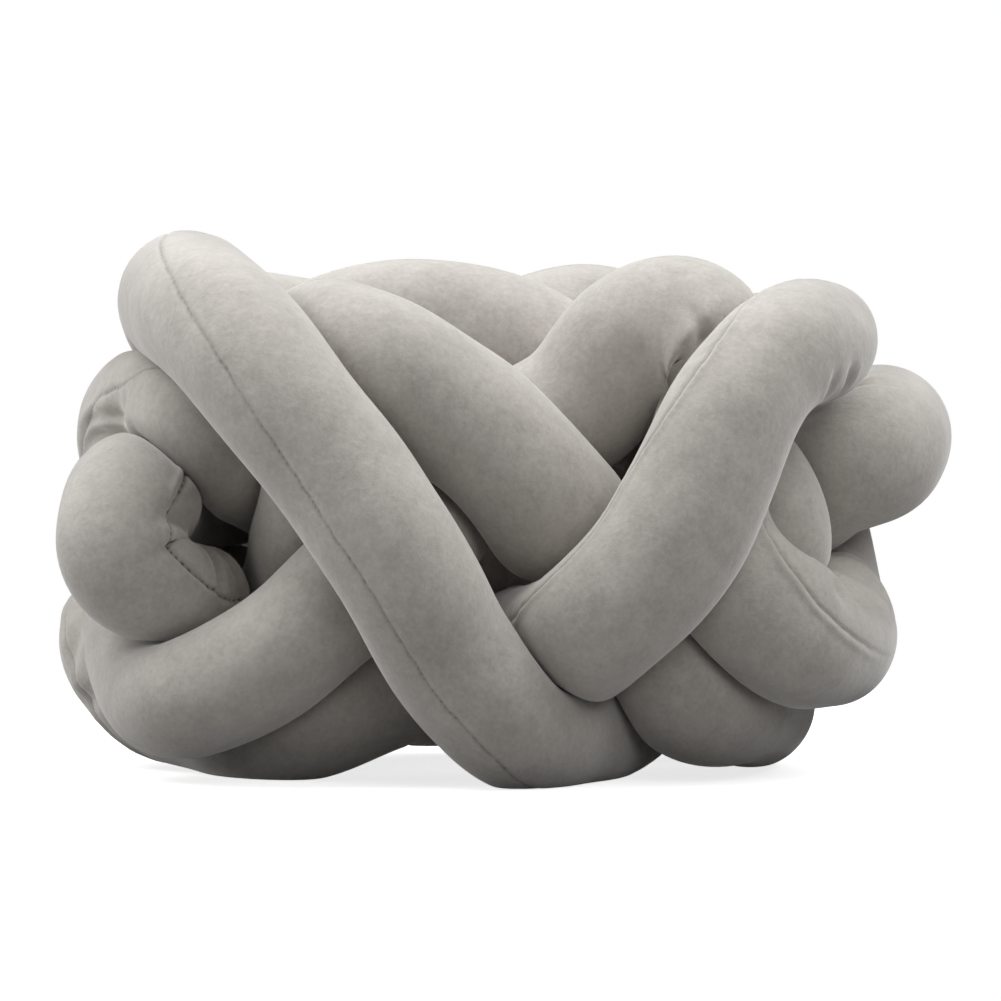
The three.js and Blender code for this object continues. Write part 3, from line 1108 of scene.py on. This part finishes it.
@dataclass(frozen=True)
class Studio:
    """A white floor under soft lamps, and the camera in front of the roll."""

    eye: tuple[float, float, float] = (-0.0026, -2.5922, 0.1704)
    target: tuple[float, float, float] = (-0.0026, 0.0074, 0.125)
    lens: float = 203.0
    floor_size: float = 24.0
    shadow_reach: float = 0.5
    floor_tone: float = 0.30
    floor_shown: float = 0.85
    floor_glow: float = 0.77
    ambient: float = 0.02
    lamps: tuple[Softbox, ...] = (
        Softbox("lamp_top", (0.0, -0.2, 1.5), 1.1, 9.5),
        Softbox("lamp_top_left", (-1.0, -0.1, 1.2), 1.1, 14.5),
        Softbox("lamp_top_right", (1.0, -0.1, 1.2), 1.1, 12.0),
        Softbox("lamp_back", (0.0, 1.0, 1.3), 1.1, 4.0),
        Softbox("lamp_left", (-1.6, -0.3, 0.4), 1.0, 5.5),
        Softbox("lamp_front", (0.6, -1.7, 1.0), 1.0, 8.0),
    )

    def set_up(self) -> None:
        """Lays the floor, hangs the lamps, lights the room and places the camera."""
        self.lay_floor()
        for lamp in self.lamps:
            lamp.hang(Vector(self.target))
        self.light_room()
        self.place_camera()

    def lay_floor(self) -> None:
        """Lays the floor, which looks white and keeps the roll's shadow, but lights the roll dimly."""
        plane = bmesh.new()
        bmesh.ops.create_grid(plane, x_segments=1, y_segments=1, size=self.floor_size / 2)
        mesh = bpy.data.meshes.new("floor")
        plane.to_mesh(mesh)
        plane.free()
        floor = bpy.data.objects.new("floor", mesh)
        bpy.context.scene.collection.objects.link(floor)
        made = bpy.data.materials.new("floor")
        made.use_nodes = True
        bench = Bench(made.node_tree)
        tone = (self.floor_tone,) * 3 + (1.0,)
        shown = (self.floor_shown,) * 3 + (1.0,)
        dull = bench.node("ShaderNodeBsdfDiffuse", {}, {"Color": tone})
        pale = bench.node("ShaderNodeBsdfDiffuse", {}, {"Color": shown})
        glow = bench.node("ShaderNodeEmission", {}, {"Strength": self.floor_glow})
        near = bench.node("ShaderNodeAddShader", {}, {0: pale.outputs[0], 1: glow.outputs[0]})
        far = bench.node("ShaderNodeEmission", {}, {"Strength": 1.0})
        length = bench.node("ShaderNodeVectorMath", {"operation": "LENGTH"}, {0: bench.place()})
        away = ((bench.value(length, "Value") - self.shadow_reach) / self.shadow_reach).clamped()
        white = bench.node("ShaderNodeMixShader", {}, {0: away, 1: near.outputs[0], 2: far.outputs[0]})
        looks = {0: bench.in_view(), 1: dull.outputs[0], 2: white.outputs[0]}
        mixed = bench.node("ShaderNodeMixShader", {}, looks)
        bench.node("ShaderNodeOutputMaterial", {}, {"Surface": mixed.outputs[0]})
        mesh.materials.append(made)

    def light_room(self) -> None:
        """Fills the room with even light, and shows it white."""
        world = bpy.data.worlds.new("room")
        bpy.context.scene.world = world
        world.use_nodes = True
        bench = Bench(world.node_tree)
        strength = bench.in_view() * (1.0 - self.ambient) + self.ambient
        sockets = {"Color": (1.0, 1.0, 1.0, 1.0), "Strength": strength}
        light = bench.node("ShaderNodeBackground", {}, sockets)
        bench.node("ShaderNodeOutputWorld", {}, {"Surface": light.outputs[0]})

    def place_camera(self) -> None:
        """Places the camera in front of the roll, a little above its middle."""
        data = bpy.data.cameras.new("camera")
        data.lens = self.lens
        camera = bpy.data.objects.new("camera", data)
        camera.location = self.eye
        way = Vector(self.target) - Vector(self.eye)
        camera.rotation_euler = way.to_track_quat("-Z", "Y").to_euler()
        bpy.context.scene.collection.objects.link(camera)
        bpy.context.scene.camera = camera


STRANDS: tuple[Strand, ...] = (
    Strand(
        "strand_1",
        [
            SeamTurn(0.20, 0.2, 0.9, -0.3),
            SeamTurn(0.458, -0.02, -0.62, -0.79),
            SeamTurn(0.482, -0.24, -0.85, -0.46),
            SeamTurn(0.514, -0.30, -0.84, -0.45),
            SeamTurn(0.534, -0.44, -0.82, -0.36),
            SeamTurn(0.554, -0.57, -0.79, -0.20),
            SeamTurn(0.590, -0.47, -0.86, -0.20),
            SeamTurn(0.621, -0.48, -0.88, -0.04),
            SeamTurn(0.638, -0.54, -0.82, 0.16),
            SeamTurn(0.659, -0.61, -0.66, 0.45),
            SeamTurn(0.696, -0.53, -0.31, 0.79),
            SeamTurn(0.80, 0.0, 0.0, 1.0),
        ],
        SeamLook.FLAT,
        seed=11,
        folds=(
            Fold(0.185, -0.08, -0.40, 0.90, depth=0.0020, width=0.0028, half_length=0.012, slant=0.2),
            Fold(0.204, -0.20, -0.50, 0.85, depth=0.0024, width=0.0030, half_length=0.014, slant=-0.2),
        ),
    ),
    Strand(
        "strand_2",
        [
            SeamTurn(0.10, -0.3, 0.9, 0.3),
            SeamTurn(0.204, -0.79, -0.56, 0.26),
            SeamTurn(0.217, -0.84, -0.40, -0.36),
            SeamTurn(0.30, 0.2, 1.0, 0.2),
            SeamTurn(0.46, -0.9, 0.4, 0.0),
            SeamTurn(0.55, -0.90, -0.20, 0.40),
            SeamTurn(0.589, -0.89, -0.21, 0.41),
            SeamTurn(0.605, -0.65, -0.61, 0.44),
            SeamTurn(0.623, -0.50, -0.58, 0.65),
            SeamTurn(0.66, -0.5, 0.0, 0.85),
            SeamTurn(0.80, -0.7, 0.5, 0.5),
        ],
        SeamLook.RIDGED,
        seed=12,
        folds=(
            Fold(0.206, -0.77, -0.60, 0.10, depth=0.0022, width=0.0035, half_length=0.010, slant=0.3),
            Fold(0.220, -0.80, -0.50, -0.30, depth=0.0026, width=0.0035, half_length=0.012, slant=-0.4),
            Fold(0.236, -0.74, -0.45, -0.50, depth=0.0018, width=0.0035, half_length=0.012, slant=0.2),
            Fold(0.650, 0.80, -0.32, -0.50, depth=0.0018, width=0.0034, half_length=0.008),
            Fold(0.668, 0.77, -0.24, -0.59, depth=0.0026, width=0.0030, half_length=0.009, slant=0.3),
            Fold(0.682, 0.70, -0.35, 0.62, depth=0.0034, width=0.0160, half_length=0.015),
        ),
    ),
    Strand(
        "strand_3",
        [SeamTurn(0.20, 0.0, 1.0, 0.0), SeamTurn(0.50, 0.4, 0.9, -0.3), SeamTurn(0.75, 0.6, 0.0, 0.8)],
        SeamLook.FLAT,
        seed=13,
    ),
    Strand(
        "strand_4",
        [
            SeamTurn(0.10, 0.0, 0.8, 0.6),
            SeamTurn(0.30, 0.3, 0.9, -0.3),
            SeamTurn(0.50, -0.3, 0.8, -0.5),
            SeamTurn(0.60, 0.57, -0.50, 0.64),
            SeamTurn(0.622, 0.59, -0.54, 0.60),
            SeamTurn(0.633, 0.60, -0.63, 0.50),
            SeamTurn(0.642, 0.67, -0.67, 0.31),
            SeamTurn(0.650, 0.76, -0.65, 0.08),
            SeamTurn(0.660, 0.84, -0.53, -0.09),
            SeamTurn(0.675, 0.88, -0.39, -0.27),
            SeamTurn(0.80, 0.9, 0.2, 0.3),
        ],
        SeamLook.RIDGED,
        seed=14,
        seam_fades_at=0.668,
        folds=(
            Fold(0.507, -0.05, -1.0, 0.06, depth=0.0065, width=0.0030, half_length=0.0040, slant=0.4),
            Fold(0.503, -0.10, -0.98, 0.12, depth=0.0012, width=0.0024, half_length=0.008, slant=1.0),
            Fold(0.499, -0.20, -0.88, -0.42, depth=-0.0040, width=0.0120, half_length=0.012),
            Fold(0.519, -0.66, -0.74, -0.12, depth=-0.0072, width=0.0110, half_length=0.013),
            Fold(0.482, 0.72, -0.50, -0.48, depth=-0.0080, width=0.0280, half_length=0.022),
            Fold(0.648, 0.62, -0.42, 0.66, depth=0.0026, width=0.0040, half_length=0.012, slant=0.5),
            Fold(0.686, 0.46, -0.18, 0.87, depth=0.0140, width=0.0260, half_length=0.020),
            Fold(0.718, 0.42, -0.10, 0.90, depth=0.0028, width=0.0065, half_length=0.022),
            Fold(0.735, 0.50, -0.16, 0.85, depth=0.0028, width=0.0065, half_length=0.022),
            Fold(0.752, 0.58, -0.24, 0.78, depth=0.0026, width=0.0060, half_length=0.018),
        ),
    ),
    Strand(
        "strand_5",
        [
            SeamTurn(0.10, 0.0, 1.0, 0.0),
            SeamTurn(0.35, 0.0, 0.6, -0.8),
            SeamTurn(0.70, 0.8, 0.2, 0.4),
            SeamTurn(0.850, 0.86, -0.30, 0.40),
            SeamTurn(0.875, 0.78, -0.54, 0.32),
            SeamTurn(0.890, 0.75, -0.62, 0.22),
            SeamTurn(0.941, 0.60, -0.55, 0.58),
            SeamTurn(0.956, 0.64, -0.66, 0.39),
            SeamTurn(0.971, 0.69, -0.72, 0.09),
            SeamTurn(0.985, 0.68, -0.71, -0.18),
        ],
        SeamLook.PUCKERED,
        seed=15,
        folds=(
            Fold(0.835, 0.95, -0.25, 0.20, depth=0.0026, width=0.0030, half_length=0.010),
            Fold(0.858, 0.97, -0.22, 0.10, depth=-0.0030, width=0.0085, half_length=0.013),
            Fold(0.886, 0.90, -0.42, 0.10, depth=0.0045, width=0.0036, half_length=0.013, slant=0.2),
            Fold(0.925, 0.60, -0.35, 0.72, depth=0.0040, width=0.0034, half_length=0.010),
            Fold(0.950, 0.62, -0.35, 0.70, depth=-0.0022, width=0.0070, half_length=0.010),
            Fold(0.985, 0.58, -0.55, 0.60, depth=0.0046, width=0.0022, half_length=0.014),
            Fold(1.008, 0.60, -0.60, 0.52, depth=0.0046, width=0.0020, half_length=0.013, slant=0.2),
        ),
    ),
    Strand(
        "strand_6",
        [
            SeamTurn(0.190, 0.50, -0.20, 0.80),
            SeamTurn(0.223, -0.56, -0.63, 0.53),
            SeamTurn(0.236, -0.76, -0.46, 0.46),
            SeamTurn(0.256, -0.87, -0.30, 0.44),
            SeamTurn(0.286, -0.89, -0.33, 0.33),
            SeamTurn(0.320, -0.91, -0.39, 0.14),
            SeamTurn(0.355, -0.89, -0.42, -0.20),
            SeamTurn(0.60, -0.3, 0.9, 0.3),
        ],
        SeamLook.FLAT,
        seed=16,
        folds=(
            Fold(0.262, -0.91, -0.36, -0.02, depth=0.0030, width=0.0060, half_length=0.010, slant=-0.3),
            Fold(0.286, -0.89, -0.37, -0.12, depth=0.0045, width=0.0080, half_length=0.012, slant=-0.2),
            Fold(0.330, -0.86, -0.43, -0.12, depth=0.0020, width=0.0026, half_length=0.030, slant=1.50),
            Fold(0.336, -0.80, -0.44, -0.34, depth=0.0024, width=0.0028, half_length=0.028, slant=1.45),
        ),
    ),
)


def main() -> None:
    """Builds the tubes, dresses them and sets up the studio."""
    logging.basicConfig(level=logging.INFO, format="%(message)s")
    lines = Plait().settle()
    plush = Plush().material()
    for strand in STRANDS:
        tube = strand.build(lines)
        strand.dress(tube, plush)
        length = lines[strand.name].length[-1]
        log.info("%s: %d faces, %.3f m long", tube.name, len(tube.data.polygons), length)
    Studio().set_up()
    bpy.context.scene.view_settings.view_transform = "Standard"


if __name__ == "__main__":
    main()
